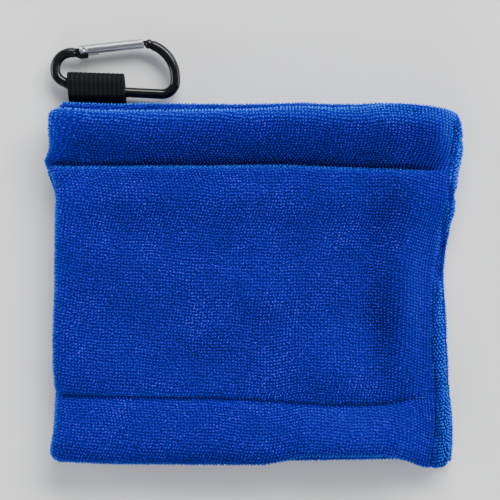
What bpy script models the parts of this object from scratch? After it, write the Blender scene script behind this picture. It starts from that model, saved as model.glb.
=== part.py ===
"""A golf towel made as a flat terry pouch, with a webbing loop and a small snap carabiner.

The pouch lies on its back on the plane z = 0. +Y runs from its bottom edge to its mouth, +X to its
right, and the carabiner lies beyond the mouth at the left. Sizes below are in millimetres.
"""

from math import asin, atan2, ceil, cos, degrees, pi, radians, sin, tan

import bmesh
import bpy
import numpy as np
from mathutils import Matrix, Vector

MM = 0.001
GAP = 0.3  # between faces that touch on the real object

# Terry cloth
CLOTH = 2.4  # one layer, with its loops
LAYER = CLOTH + GAP  # from one layer's middle to the next in a hem
BACK_Z = CLOTH / 2  # middle of the back panel's outer layer
BODY_Z = 11.4  # middle of the front panel below its hem
MOUTH_Z = 14.7  # middle of the front panel's outer layer along the mouth
SEAM_Z = 6.3  # where the two panels meet along the left edge
SEAM_GAP = 1.7  # between the middles of their edges there, which the arc tips towards each other
FLANGE_Z = BACK_Z + LAYER  # middle of the front panel's flange, on one layer
FLANGE_WIDTH = 6.0
SLOPE_WIDTH = 13.0  # over which the front panel comes down to the flange
GROOVE_DEPTH = 0.7  # where a seam pulls the cloth in
GROOVE_WIDTH = 1.4
HEM_FLANGE_Z = BACK_Z + 3 * LAYER + 2 * GROOVE_DEPTH  # the flange where both panels are hemmed and sewn
HEM_TURN = 2.2  # how far a hem's raw edge reaches past its seam
HEM_EASE = 7.0  # over which the front panel comes down from a hem
FRONT_FOLD_DROP = 2.3  # the front panel's fold lies lower than the back panel's
ARC_SHARE = 0.12  # of a panel's columns, spent on its round left edge

# Outline and seams of the pouch: (position along the edge, place of the edge)
LEFT_EDGE = [(-72, -72.6), (-62, -71.3), (-40, -72.1), (20, -71.2), (32.7, -74.2), (44, -73.4), (54, -73.0)]
RIGHT_EDGE = [(-72, 70.8), (-62, 71.4), (-30, 69.2), (-7, 67.9), (15, 71.2), (41, 73.4), (54, 73.4)]
TOP_EDGE = [(-74, 53.0), (-69, 54.1), (50, 53.8), (60, 52.8), (66, 51.0), (71, 47.2), (74.2, 43.0)]
BOTTOM_EDGE = [(-73, -72.4), (-62, -74.4), (0, -74.9), (43, -73.6), (55, -74.6), (63.5, -76.9), (71, -75.6)]
HEM_SEAM = [(-73, 30.9), (10, 31.3), (45, 30.0), (72, 28.8)]
BOTTOM_SEAM = [(-73, -49.6), (-23, -50.4), (23, -52.7), (40, -53.3), (53, -50.9), (72, -50.9)]

# Webbing
WEB_LEFT, WEB_RIGHT = -66.1, -45.8
WEB_THICK = 1.0
WEB_Z = 1.1  # middle of its lower layer
WEB_LAYER = WEB_THICK + GAP
SEWN_FROM, SEWN_TO = 36.0, 52.5
FLEX_Y = 53.9  # the line on which the free loop bends
FOLD_Y = 64.7
LOOP_TOP_Z = 8.0  # middle of the loop's upper layer, high enough for the rod to turn below it
LOOP_WALL_Y = 54.75
LIFT = 3.8  # how far the sewn webbing lifts the back panel
FRONT_LIFT = 1.0
LIFT_REACH = 8.0

# Carabiner frame
ROD = 3.6
ROD_Z = 3.7
NOSE = (-39.0, 74.84)
TOP_RIGHT = ((-28.34, 72.83), 12.4)
BOTTOM_RIGHT = ((-28.34, 56.57), 4.6)
SPINE_LEFT = ((-62.06, 58.29), 13.6)
LEFT_LOW = ((-71.06, 62.68), 4.6)
LEFT_HIGH = ((-71.06, 71.47), 5.8)
TONGUE_ROOT = (-63.3, 71.6)
TONGUE_THICK = 1.1
BLADE_THICK = 1.0

# Gate, in its own frame: x along the tube from the hinge, y outwards, z up
PIVOT = (-60.53, 72.49)
GATE_LENGTH = 21.0
GATE_ANGLE = atan2(74.83 - PIVOT[1], -39.65 - PIVOT[0])
GATE_OVERHANG = 1.8
TUBE_R = 1.75
BORE_R = 1.25
SLOT = 1.5
RIVET_R = 0.6
RIVET_HEAD_R = 0.95
PIN_R = 0.4
PIN_AT = (GATE_LENGTH - 1.3, -0.55)
PIN_FIT = 0.07
SPRING_FROM, SPRING_TO = 5.0, 12.8
SPRING_R, SPRING_WIRE, SPRING_TURNS = 0.82, 0.3, 7
PLUNGER_R = 1.05
PLUNGER_FROM, PLUNGER_TO = 1.6, 4.7

# Sewing thread
THREAD = 0.35
THREAD_LIFT = GAP + THREAD / 2
TACK_THREAD = 0.2
SIDE_THREAD_IN = 1.2  # from the flange's inner edge to the side seam's thread
SIDE_THREAD_LIFT = 0.8  # more height for it over the slope

parts = None
cutters = None


def clear_scene():
    for obj in list(bpy.data.objects):
        bpy.data.objects.remove(obj)


def new_collection(name):
    collection = bpy.data.collections.new(name)
    bpy.context.scene.collection.children.link(collection)
    return collection


def material(name, colour, roughness, metallic=0.0):
    made = bpy.data.materials.new(name)
    made.use_nodes = True
    shader = made.node_tree.nodes["Principled BSDF"]
    shader.inputs["Base Color"].default_value = (*colour, 1.0)
    shader.inputs["Roughness"].default_value = roughness
    shader.inputs["Metallic"].default_value = metallic
    return made


def mesh_object(name, mesh, finish=None, collection=None):
    obj = bpy.data.objects.new(name, mesh)
    (collection or parts).objects.link(obj)
    if finish:
        mesh.materials.clear()
        mesh.materials.append(finish)
    return obj


def metres(points):
    return [Vector(p) * MM for p in points]


def lookup(table, at):
    """The value of an edge or seam at one place along it."""
    return float(np.interp(at, [row[0] for row in table], [row[1] for row in table]))


def smooth(value, start, end):
    t = min(max((value - start) / (end - start), 0.0), 1.0)
    return t * t * (3 - 2 * t)


def groove(distance):
    return GROOVE_DEPTH * np.exp(-((distance / GROOVE_WIDTH) ** 2))


# ---------------------------------------------------------------- cloth


def lift_at(x, y):
    """From 0 to 1, how much of the webbing lies under the cloth here."""
    across = smooth(x, WEB_LEFT - 2.3, WEB_LEFT - 0.6) * (1 - smooth(x, WEB_RIGHT + 1, WEB_RIGHT + LIFT_REACH))
    along = smooth(y, SEWN_FROM - LIFT_REACH, SEWN_FROM - 1)
    return across * along


def cloth_rows(fold_drop):
    """Rows of the sheet from one raw edge, round both folds, to the other: (level, offset, depth)."""
    turn = LAYER / 2
    rows = [("hem", -HEM_TURN, LAYER), ("hem", 0.0, LAYER), ("hem", 3.0, LAYER), ("top", -9.0, LAYER)]
    for step in range(5):
        angle = -pi / 2 + pi * step / 4
        rows.append(("top", -CLOTH / 2 - turn * (1 - cos(angle)), turn * (1 - sin(angle))))
    rows += [("top", -9.0, 0.0), ("hem", 3.0, 0.0), ("hem", 1.2, 0.0), ("hem", 0.0, 0.0), ("hem", -1.2, 0.0)]
    rows += [("hem", -4.0, 0.0), ("hem", -6.5, 0.0), ("hem", -HEM_TURN - HEM_EASE, 0.0)]
    rows += [(fraction, 0.0, 0.0) for fraction in (0.2, 0.4, 0.6, 0.8)]
    rows += [("seam", HEM_TURN + HEM_EASE, 0.0), ("seam", 5.5, 0.0), ("seam", HEM_TURN, 0.0)]
    rows += [("seam", 1.2, 0.0), ("seam", 0.0, 0.0), ("seam", -1.2, 0.0), ("seam", -4.0, 0.0)]
    rows += [("bottom", 9.0, 0.0)]
    for step in range(5):
        angle = pi / 2 - pi * step / 4
        rows.append(("bottom", CLOTH / 2 + turn * (1 - cos(angle)), turn * (1 - sin(angle))))
    rows += [("bottom", 9.0, LAYER), ("seam", -3.0, LAYER), ("seam", 0.0, LAYER), ("seam", HEM_TURN, LAYER)]
    return [(level, offset - (fold_drop if level == "top" else 0.0), depth) for level, offset, depth in rows]


def row_y(level, offset, x):
    hem, seam = lookup(HEM_SEAM, x), lookup(BOTTOM_SEAM, x)
    if level == "top":
        return lookup(TOP_EDGE, x) + offset
    if level == "hem":
        return hem + offset
    if level == "seam":
        return seam + offset
    if level == "bottom":
        return lookup(BOTTOM_EDGE, x) + offset
    return hem + (seam - hem) * level


def flange_height(x, y, high, low):
    """The front panel's slope from its own height down to the flange along the right edge."""
    start = lookup(RIGHT_EDGE, y) - FLANGE_WIDTH
    return high + (low - high) * smooth(x, start - SLOPE_WIDTH, start)


def front_levels(x, y):
    """Heights of the middle of the front panel's outer layer here: away from the flange, and on it."""
    hem, seam = lookup(HEM_SEAM, x), lookup(BOTTOM_SEAM, x)
    top_hem = smooth(y, hem - HEM_TURN - HEM_EASE, hem - HEM_TURN)
    bottom_hem = 1 - smooth(y, seam + HEM_TURN, seam + HEM_TURN + HEM_EASE)
    high = BODY_Z + (MOUTH_Z - BODY_Z) * top_hem
    low = FLANGE_Z + (HEM_FLANGE_Z - FLANGE_Z) * max(top_hem, bottom_hem)
    return high, low


def front_point(u, row):
    """A point on the middle of the front panel's sheet."""
    level, offset, depth = row
    across = LEFT_EDGE[0][1] + u * (RIGHT_EDGE[0][1] - LEFT_EDGE[0][1])
    y = row_y(level, offset, across)
    high, low = front_levels(across, y)
    edge_z = SEAM_Z + SEAM_GAP / 2
    return sheet_point(u, y, high - edge_z, depth, edge_z, 1, lambda x: flange_height(x, y, high, low))


def back_point(u, row):
    """A point on the middle of the back panel's sheet."""
    level, offset, depth = row
    across = LEFT_EDGE[0][1] + u * (RIGHT_EDGE[0][1] - LEFT_EDGE[0][1])
    y = row_y(level, offset, across)
    edge_z = SEAM_Z - SEAM_GAP / 2
    return sheet_point(u, y, edge_z - BACK_Z, depth, edge_z, -1, lambda x: BACK_Z)


def sheet_point(u, y, radius, depth, edge_z, side, height):
    """Round the left edge on an arc, then across the panel at its height, side +1 up or -1 down."""
    left = lookup(LEFT_EDGE, y) + CLOTH / 2
    right = lookup(RIGHT_EDGE, y)
    if u < ARC_SHARE:
        angle = pi - (u / ARC_SHARE) * pi / 2
        x = left + radius + (radius - depth) * cos(angle)
        z = edge_z + side * (radius - depth) * sin(angle)
    else:
        t = (u - ARC_SHARE) / (1 - ARC_SHARE)
        x = left + radius + t * (right - left - radius)
        z = height(x) - side * depth
    lift = LIFT if side < 0 else FRONT_LIFT
    hem, seam = lookup(HEM_SEAM, x), lookup(BOTTOM_SEAM, x)
    z -= side * (groove(y - hem) + groove(y - seam)) * smooth(x, left, left + 3)
    return Vector((x, y, z + lift * lift_at(x, y)))


# Columns of a panel, closer together over the webbing's sides and on the slope to the flange
FLAT_COLUMNS = [0, 0.012, 0.03, 0.12, 0.16, 0.2, 0.25, 0.4, 0.55, 0.7, 0.8, 0.84, 0.88, 0.92, 0.96, 1.0]
ACROSS = [ARC_SHARE * i / 4 for i in range(4)]
ACROSS += [ARC_SHARE + (1 - ARC_SHARE) * t for t in FLAT_COLUMNS]


def panel(name, point_at, fold_drop, finish, outside):
    """One hemmed panel: a sheet through rows of points, thickened on both sides."""
    rows = cloth_rows(fold_drop)
    mesh = bpy.data.meshes.new(name)
    bm = bmesh.new()
    bmesh.ops.create_grid(bm, x_segments=len(ACROSS) - 1, y_segments=len(rows) - 1, size=0.5)
    for vert in bm.verts:
        column = round((vert.co.x + 0.5) * (len(ACROSS) - 1))
        row = round((vert.co.y + 0.5) * (len(rows) - 1))
        vert.co = point_at(ACROSS[column], rows[row]) * MM
    bm.to_mesh(mesh)
    bm.free()
    if outside < 0:
        mesh.flip_normals()
    mesh.shade_smooth()
    obj = mesh_object(name, mesh, finish)
    thick = obj.modifiers.new("cloth", "SOLIDIFY")
    thick.thickness = CLOTH * MM
    thick.offset = 0.0
    return obj


def front_surface(x, y):
    """Height of the front panel's face, for the thread that lies on it."""
    z = flange_height(x, y, *front_levels(x, y)) + CLOTH / 2
    dips = groove(y - lookup(HEM_SEAM, x)) + groove(y - lookup(BOTTOM_SEAM, x))
    return z - dips + FRONT_LIFT * lift_at(x, y)


# ---------------------------------------------------------------- wires, plates and turned pieces


def wire(name, points, diameter, finish, cyclic=False, resolution=2):
    curve = bpy.data.curves.new(name, "CURVE")
    curve.dimensions = "3D"
    curve.bevel_depth = diameter / 2 * MM
    curve.bevel_resolution = resolution
    curve.use_fill_caps = not cyclic
    spline = curve.splines.new("POLY")
    spline.points.add(len(points) - 1)
    for place, point in zip(spline.points, metres(points), strict=True):
        place.co = (*point, 1.0)
    spline.use_cyclic_u = cyclic
    curve.materials.append(finish)
    obj = bpy.data.objects.new(name, curve)
    parts.objects.link(obj)
    return obj


def as_mesh(obj):
    """The same solid as a mesh object, which can take a Boolean."""
    bpy.context.view_layer.update()
    graph = bpy.context.evaluated_depsgraph_get()
    mesh = bpy.data.meshes.new_from_object(obj.evaluated_get(graph))
    bm = bmesh.new()
    bm.from_mesh(mesh)
    bmesh.ops.remove_doubles(bm, verts=bm.verts, dist=1e-6)
    bmesh.ops.recalc_face_normals(bm, faces=bm.faces)
    bm.to_mesh(mesh)
    bm.free()
    name, place, finish = obj.name, obj.matrix_world.copy(), obj.data.materials[0]
    bpy.data.objects.remove(obj)
    made = mesh_object(name, mesh, finish)
    made.name = name
    made.matrix_world = place
    return made


def plate(name, outline, thickness, middle_z=0.0):
    """A flat outline in the gate's frame, extruded through its thickness, as a cutter or a blank."""
    mesh = bpy.data.meshes.new(name)
    bm = bmesh.new()
    verts = [bm.verts.new((x * MM, y * MM, (middle_z - thickness / 2) * MM)) for x, y in outline]
    face = bm.faces.new(verts)
    grown = bmesh.ops.extrude_face_region(bm, geom=[face])
    raised = [item for item in grown["geom"] if isinstance(item, bmesh.types.BMVert)]
    bmesh.ops.translate(bm, verts=raised, vec=(0, 0, thickness * MM))
    bmesh.ops.recalc_face_normals(bm, faces=bm.faces)
    bm.to_mesh(mesh)
    bm.free()
    return guide(mesh_object(name, mesh, collection=cutters))


def rod_blank(name, radius, start, end, sides=24):
    """A plain cylinder between two points of the gate's frame, as a cutter or a blank."""
    start, end = Vector(start), Vector(end)
    mesh = bpy.data.meshes.new(name)
    bm = bmesh.new()
    turn = (end - start).to_track_quat("Z", "Y").to_matrix().to_4x4()
    place = Matrix.Translation((start + end) / 2 * MM) @ turn
    bmesh.ops.create_cone(
        bm, cap_ends=True, segments=sides, radius1=radius * MM, radius2=radius * MM,
        depth=(end - start).length * MM, matrix=place,
    )
    bm.to_mesh(mesh)
    bm.free()
    return guide(mesh_object(name, mesh, collection=cutters))


def guide(obj):
    obj.hide_render = True
    obj.display_type = "WIRE"
    return obj


def combine(obj, other, operation):
    change = obj.modifiers.new(other.name, "BOOLEAN")
    change.operation = operation
    change.solver = "EXACT"
    change.object = other


def turned(name, profile, finish, steps=24):
    """A solid of revolution about its own z, from a profile that runs down its outer side."""
    mesh = bpy.data.meshes.new(name)
    bm = bmesh.new()
    verts = [bm.verts.new((r * MM, 0, z * MM)) for r, z in profile]
    for upper, lower in zip(verts, verts[1:], strict=False):
        bm.edges.new((upper, lower))
    bm.to_mesh(mesh)
    bm.free()
    obj = mesh_object(name, mesh, finish)
    screw = obj.modifiers.new("turn", "SCREW")
    screw.steps = steps
    screw.render_steps = steps
    screw.use_merge_vertices = True
    screw.merge_threshold = 0.000005
    return obj


def polished(obj, angle=40):
    obj.data.shade_smooth()
    obj.data.set_sharp_from_angle(angle=radians(angle))
    return obj


def fillet(corner, before, after, radius, step=11):
    """Points on the arc that rounds one corner of a route."""
    corner, before, after = Vector(corner), Vector(before), Vector(after)
    back = (before - corner).normalized()
    ahead = (after - corner).normalized()
    half = back.angle(ahead) / 2
    centre = corner + (back + ahead).normalized() * radius / sin(half)
    first = corner + back * radius / tan(half)
    last = corner + ahead * radius / tan(half)
    count = max(2, ceil(degrees(pi - 2 * half) / step))
    start = first - centre
    sweep = start.angle_signed(last - centre)
    turned_points = []
    for i in range(count + 1):
        angle = sweep * i / count
        c, s = cos(angle), sin(angle)
        turned_points.append(centre + Vector((start.x * c + start.y * s, start.y * c - start.x * s)))
    return turned_points


def rounded_route(start, corners, end, step=11):
    """A flat route from start to end, with each corner rounded by its radius."""
    stops = [Vector(start)] + [Vector(place) for place, radius in corners] + [Vector(end)]
    points = [stops[0]]
    for i, (place, radius) in enumerate(corners, 1):
        points += fillet(place, stops[i - 1], stops[i + 1], radius, step)
    return points + [stops[-1]]


# ---------------------------------------------------------------- webbing


def webbing_strip(name, route, finish):
    """Flat webbing along a route in the (y, z) plane."""
    mesh = bpy.data.meshes.new(name)
    bm = bmesh.new()
    left = [bm.verts.new((WEB_LEFT * MM, p[0] * MM, p[1] * MM)) for p in route]
    right = [bm.verts.new((WEB_RIGHT * MM, p[0] * MM, p[1] * MM)) for p in route]
    for i in range(len(route) - 1):
        bm.faces.new((left[i], right[i], right[i + 1], left[i + 1]))
    bm.to_mesh(mesh)
    bm.free()
    obj = mesh_object(name, mesh, finish)
    thick = obj.modifiers.new("webbing", "SOLIDIFY")
    thick.thickness = WEB_THICK * MM
    thick.offset = 0.0
    return obj


def make_webbing(finish):
    upper = WEB_Z + WEB_LAYER
    turn = WEB_LAYER / 2
    # The sewn end: the strip runs in, turns back on itself and runs out again.
    tail = [(SEWN_TO, WEB_Z), (SEWN_FROM + 1, WEB_Z)]
    for i in range(1, 6):
        angle = -pi / 2 - pi * i / 6
        tail.append((SEWN_FROM + 1 + turn * cos(angle), WEB_Z + turn + turn * sin(angle)))
    tail += [(SEWN_FROM + 1, upper), (SEWN_TO, upper)]
    webbing_strip("webbing_sewn_end", tail, finish)
    inner = FOLD_Y - WEB_THICK / 2
    corners = [((inner, WEB_Z), 2.6), ((inner, LOOP_TOP_Z), 3.4), ((LOOP_WALL_Y, LOOP_TOP_Z), 2.2)]
    route = rounded_route((FLEX_Y + 0.15, WEB_Z), corners, (LOOP_WALL_Y, upper), step=20)
    webbing_strip("webbing_loop", route, finish)


# ---------------------------------------------------------------- carabiner


def gate_place():
    place = Matrix.Translation(Vector((*PIVOT, ROD_Z)) * MM)
    return place @ Matrix.Rotation(GATE_ANGLE, 4, "Z")


def make_frame(finish):
    corners = [TOP_RIGHT, BOTTOM_RIGHT, SPINE_LEFT, LEFT_LOW, LEFT_HIGH]
    route = rounded_route(NOSE, corners, TONGUE_ROOT)
    frame = as_mesh(wire("carabiner_frame", [(p.x, p.y, ROD_Z) for p in route], ROD, finish, resolution=4))
    tongue = [(-4.6, -1.5), (-1.4, -3.0), (0.9, -3.0), (1.3, -1.3), (1.3, 0.7), (-4.6, 1.0)]
    nose = GATE_LENGTH
    blade = [(nose + 2.5, -0.9), (nose + 2.5, 0.9), (nose - 2.5, 0.9), (nose - 2.5, -0.9), (nose - 2.0, -0.9)]
    blade += [(nose - 2.0, 0.0), (nose + 0.2, 0.0), (nose + 0.2, -0.9)]
    for name, outline, thickness in (("tongue", tongue, TONGUE_THICK), ("blade", blade, BLADE_THICK)):
        blank = plate(name, outline, thickness)
        blank.matrix_world = gate_place()
        combine(frame, blank, "UNION")
    hole = rod_blank("rivet_hole", RIVET_R + PIN_FIT, (0, 0, -2), (0, 0, 2))
    hole.matrix_world = gate_place()
    combine(frame, hole, "DIFFERENCE")
    polished(frame)


def make_gate(finish):
    ends = (-GATE_OVERHANG, 0, 0), (GATE_LENGTH, 0, 0)
    blank = rod_blank("gate_tube", TUBE_R, *ends)
    cutters.objects.unlink(blank)
    parts.objects.link(blank)
    blank.hide_render = False
    blank.display_type = "TEXTURED"
    blank.data.materials.append(finish)
    blank.matrix_world = gate_place()
    cuts = [
        rod_blank("spring_bore", BORE_R, (-GATE_OVERHANG - 1, 0, 0), (SPRING_TO + 0.3, 0, 0)),
        rod_blank("nose_bore", BORE_R, (GATE_LENGTH - 4, 0, 0), (GATE_LENGTH + 1, 0, 0)),
        plate("hinge_slot", [(-3, -3), (5.5, -3), (5.5, 0), (2.4, 1.4), (-3, 1.4)], SLOT),
        plate("nose_slot", [(GATE_LENGTH - 3.2, 0), (GATE_LENGTH + 1, 0), (GATE_LENGTH + 1, 3),
                            (GATE_LENGTH - 3.2, 3)], SLOT),
        rod_blank("gate_rivet_hole", RIVET_R + PIN_FIT, (0, 0, -3), (0, 0, 3)),
        rod_blank("latch_pin_hole", PIN_R + PIN_FIT, (*PIN_AT, -3), (*PIN_AT, 3), sides=16),
    ]
    for cutter in cuts:
        cutter.matrix_world = gate_place()
        combine(blank, cutter, "DIFFERENCE")
    polished(blank)


def make_rivet(finish):
    reach = TUBE_R + 0.08
    head = 0.35
    half = [(RIVET_HEAD_R * cos(a), reach + head * sin(a)) for a in (radians(d) for d in (60, 30, 0))]
    upper = [(0, reach + head)] + half + [(RIVET_R, reach)]
    profile = upper + [(r, -z) for r, z in reversed(upper)]
    rivet = turned("hinge_rivet", profile, finish)
    rivet.matrix_world = gate_place()
    polished(rivet)


def make_latch_pin(finish):
    half = TUBE_R * cos(asin(abs(PIN_AT[1]) / TUBE_R)) - 0.05
    pin = turned("latch_pin", [(0, half), (PIN_R, half), (PIN_R, -half), (0, -half)], finish, steps=16)
    pin.matrix_world = gate_place() @ Matrix.Translation(Vector((*PIN_AT, 0)) * MM)
    polished(pin)


def make_plunger(finish):
    chamfer = 0.25
    length = PLUNGER_TO - PLUNGER_FROM
    profile = [(0, length), (PLUNGER_R, length), (PLUNGER_R, chamfer), (PLUNGER_R - chamfer, 0), (0, 0)]
    plunger = turned("spring_plunger", profile, finish)
    along = Matrix.Rotation(pi / 2, 4, "Y")
    plunger.matrix_world = gate_place() @ Matrix.Translation((PLUNGER_FROM * MM, 0, 0)) @ along
    polished(plunger)


def make_spring(finish):
    per_turn = 9
    points = []
    for i in range(per_turn * SPRING_TURNS + 1):
        angle = 2 * pi * i / per_turn
        along = i / (per_turn * SPRING_TURNS)
        x = SPRING_FROM + SPRING_WIRE / 2 + (SPRING_TO - SPRING_FROM - SPRING_WIRE) * along
        points.append((x, SPRING_R * cos(angle), SPRING_R * sin(angle)))
    spring = wire("gate_spring", points, SPRING_WIRE, finish)
    spring.matrix_world = gate_place()


# ---------------------------------------------------------------- threads


def spread(start, end, count):
    return [start + (end - start) * i / (count - 1) for i in range(count)]


def make_threads(finish, black):
    left, right = -62.0, 60.0
    hem = [(x, lookup(HEM_SEAM, x)) for x in spread(left, right, 25)]
    wire("front_hem_thread", [(x, y, front_surface(x, y) + THREAD_LIFT) for x, y in hem], THREAD, finish)
    seam = [(x, lookup(BOTTOM_SEAM, x)) for x in spread(left, right, 25)]
    wire("bottom_seam_thread", [(x, y, front_surface(x, y) + THREAD_LIFT) for x, y in seam], THREAD, finish)
    # Under the back panel the thread lies in the groove that it pulls.
    under = [(x, y, GROOVE_DEPTH - THREAD_LIFT) for x, y in hem]
    wire("back_hem_thread", under, THREAD, finish)
    side = []
    for y in spread(-70.0, 42.0, 29):
        x = lookup(RIGHT_EDGE, y) - FLANGE_WIDTH + SIDE_THREAD_IN
        side.append((x, y, front_surface(x, y) + THREAD_LIFT + SIDE_THREAD_LIFT))
    wire("side_seam_thread", side, THREAD, finish)
    inside = CLOTH + 1.0
    left_side = [(lookup(LEFT_EDGE, y) + inside, y, SEAM_Z) for y in spread(-44.0, 26.0, 19)]
    wire("left_seam_thread", left_side, THREAD, finish)
    x0, x1 = WEB_LEFT + 2, WEB_RIGHT - 2
    y0, y1 = SEWN_FROM + 3, SEWN_TO - 1.5
    tack_z = WEB_Z - WEB_THICK / 2 - GAP - TACK_THREAD / 2
    box = [(x0, y0), (x1, y0), (x1, y1), (x0, y1)]
    wire("webbing_tack_thread", [(x, y, tack_z) for x, y in box], TACK_THREAD, black, cyclic=True)


def main():
    global parts, cutters
    clear_scene()
    parts = new_collection("golf_towel")
    cutters = new_collection("cutters")
    terry = material("terry", (0.005, 0.04, 0.45), 0.95)
    blue_thread = material("blue_thread", (0.005, 0.03, 0.35), 0.7)
    webbing = material("webbing", (0.01, 0.011, 0.014), 0.75)
    black_thread = material("black_thread", (0.012, 0.012, 0.014), 0.7)
    anodised = material("black_anodised", (0.01, 0.01, 0.012), 0.2, 0.6)
    aluminium = material("brushed_aluminium", (0.5, 0.51, 0.53), 0.35, 1.0)
    steel = material("steel", (0.6, 0.6, 0.62), 0.3, 1.0)
    panel("back_panel", back_point, 0.0, terry, -1)
    panel("front_panel", front_point, FRONT_FOLD_DROP, terry, 1)
    make_webbing(webbing)
    make_frame(anodised)
    make_gate(aluminium)
    make_rivet(steel)
    make_latch_pin(steel)
    make_plunger(steel)
    make_spring(steel)
    make_threads(blue_thread, black_thread)


main()
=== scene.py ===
from math import atan2, ceil, cos, degrees, pi, radians, sin, tan

import bmesh
import bpy
import numpy as np
from mathutils import Matrix, Vector


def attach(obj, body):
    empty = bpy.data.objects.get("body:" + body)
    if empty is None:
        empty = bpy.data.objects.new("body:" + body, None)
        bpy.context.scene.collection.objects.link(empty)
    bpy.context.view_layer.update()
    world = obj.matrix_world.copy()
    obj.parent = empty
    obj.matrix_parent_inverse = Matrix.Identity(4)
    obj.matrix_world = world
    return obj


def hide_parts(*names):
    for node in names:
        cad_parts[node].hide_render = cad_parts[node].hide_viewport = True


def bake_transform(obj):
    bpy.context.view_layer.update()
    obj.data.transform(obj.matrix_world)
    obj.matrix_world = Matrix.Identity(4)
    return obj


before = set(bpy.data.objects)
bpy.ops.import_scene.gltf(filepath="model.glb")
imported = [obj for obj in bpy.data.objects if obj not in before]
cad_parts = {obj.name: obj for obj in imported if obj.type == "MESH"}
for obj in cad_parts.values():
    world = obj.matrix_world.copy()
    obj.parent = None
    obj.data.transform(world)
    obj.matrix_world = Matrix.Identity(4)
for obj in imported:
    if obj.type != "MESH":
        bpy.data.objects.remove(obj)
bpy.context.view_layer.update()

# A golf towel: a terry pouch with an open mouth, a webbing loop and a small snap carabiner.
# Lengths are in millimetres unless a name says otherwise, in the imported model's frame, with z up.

MM = 0.001
rng = np.random.default_rng(11)

# Camera: straight down on the towel
VIEW_WIDTH = 177.5
VIEW_CENTRE = (-1.8, 1.4)
VIEW_Z = 5.0
LENS = 180.0
SENSOR = 36.0

# Terry cloth
CLOTH = 2.4  # one layer with its pile
CORE = 1.0  # the woven ground of a layer
LAYER = 2.7  # from one layer's middle to the next in a hem
FOLD = LAYER / 2
BACK_Z = 1.2
BODY_Z = 11.4
FLANGE_START, FLANGE_PITCH = 0.9, 1.8  # ridges of the flange outside the side seam
SEAM_Z = 6.3
SEAM_GAP = 1.7
ROLL = 1.15  # radius on which a raw side edge turns
HEM_TURN = 2.2

# Loops of the pile
LOOP_HEIGHT = 0.52
LOOP_WIDTH = 0.46
YARN_R = 0.27
LOOP_PITCH = (1.08, 1.10)  # down the cloth and across it
LOOP_ANGLE, LOOP_SPREAD = 45, 24  # degrees from the rows, on the open cloth
SIDE_ANGLE, SIDE_SPREAD = 82, 14  # and next to the side seam
GRID_TILT = 0.07  # of the rows and columns against the cloth's edges
SIDE_STRETCH = 0.26  # how much wider the columns are apart near the side seam
PILE_FACES = 190000  # most triangles in one piece of pile

# Edges of the cloth, with its pile: (place along the edge, place of the edge)
FRONT_LEFT = [
    (-76, -71.6), (-71, -73.1), (-67, -72.8), (-61, -71.5), (-53.6, -71.1), (-49.3, -70.5), (-47, -71.5),
    (-40, -72.1), (-30, -72.3), (-16, -71.7), (21, -71.2), (26, -71.9), (28.6, -73.2), (30.6, -74.3),
    (33, -75.1), (35.4, -73.9), (37, -73.3), (44, -73.9), (48.5, -73.9), (51, -73.0), (54, -72.4),
]
BACK_LEFT = [
    (-76, -71.4), (-67, -72.4), (-50, -71.4), (-30, -72.2), (21, -71.3), (25.2, -72.7), (28.5, -74.2),
    (31.0, -74.0), (34, -72.6), (46, -72.6), (50, -71.4), (54, -69.0),
]
RIGHT = [
    (-76, 70.6), (-71, 71.0), (-64, 71.4), (-59.6, 71.4), (-51, 70.3), (-37.6, 69.6), (-27.7, 69.2),
    (-15.6, 68.7), (-7, 67.9), (0.4, 68.7), (7.8, 69.9), (15.3, 71.3), (22.7, 71.6), (28.8, 72.1),
    (33.4, 73.0), (39, 74.1), (43.7, 74.1), (50, 73.2),
]
TOP = [
    (-74, 52.6), (-72, 53.9), (-69, 54.5), (-59, 54.1), (-46, 53.6), (-27, 53.7), (-6, 53.4), (7, 53.6),
    (16, 54.0), (24, 53.5), (36, 53.4), (43, 54.0), (51, 53.8), (59, 53.0), (66, 51.4), (70, 49.2),
    (74.0, 44.5),
]
FRONT_DROP = [
    (-74, 1.8), (-68, 2.5), (-58, 3.1), (-46, 2.7), (-27, 2.6), (-6, 2.0), (7, 1.5), (25, 1.6),
    (38, 1.0), (46, 0.4), (74, 0.3),
]  # how far the front fold lies below the back fold
FRONT_BOTTOM = [(-73, -72.4), (-67.5, -73.8), (-46, -74.9), (6, -75.1), (12, -73.6), (18, -72.0), (48, -71.7),
                (54, -73.4), (60, -76.1), (64, -76.5), (68, -75.6), (71, -73.0)]
BACK_BOTTOM = [(-73, -71.8), (-46, -74.0), (6, -74.5), (14.6, -74.1), (43, -73.6), (49, -73.5), (57, -74.4),
               (64, -75.4), (70, -74.0)]
HEM_SEAM = [(-73, 30.9), (-20, 31.0), (10, 31.3), (29.5, 30.5), (45, 30.0), (72, 28.8)]
BOTTOM_SEAM = [(-73, -49.5), (-43, -49.9), (-23, -50.4), (-2, -51.1), (23, -52.7), (40, -53.3), (48, -52.5),
               (53, -50.9), (72, -50.6)]
SIDE_SEAM = [(-76, 62.4), (-67.5, 63.0), (-61.8, 64.1), (-57, 64.3), (-45, 64.2), (-37.6, 63.4), (-27, 62.9),
             (-15.6, 63.4), (-8.5, 63.7), (-2, 64.2), (3.9, 65.4), (9.9, 66.7), (15.3, 67.7), (19.2, 68.7),
             (28.6, 68.7), (33.4, 69.2), (44.7, 70.6), (54, 71.5)]

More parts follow.
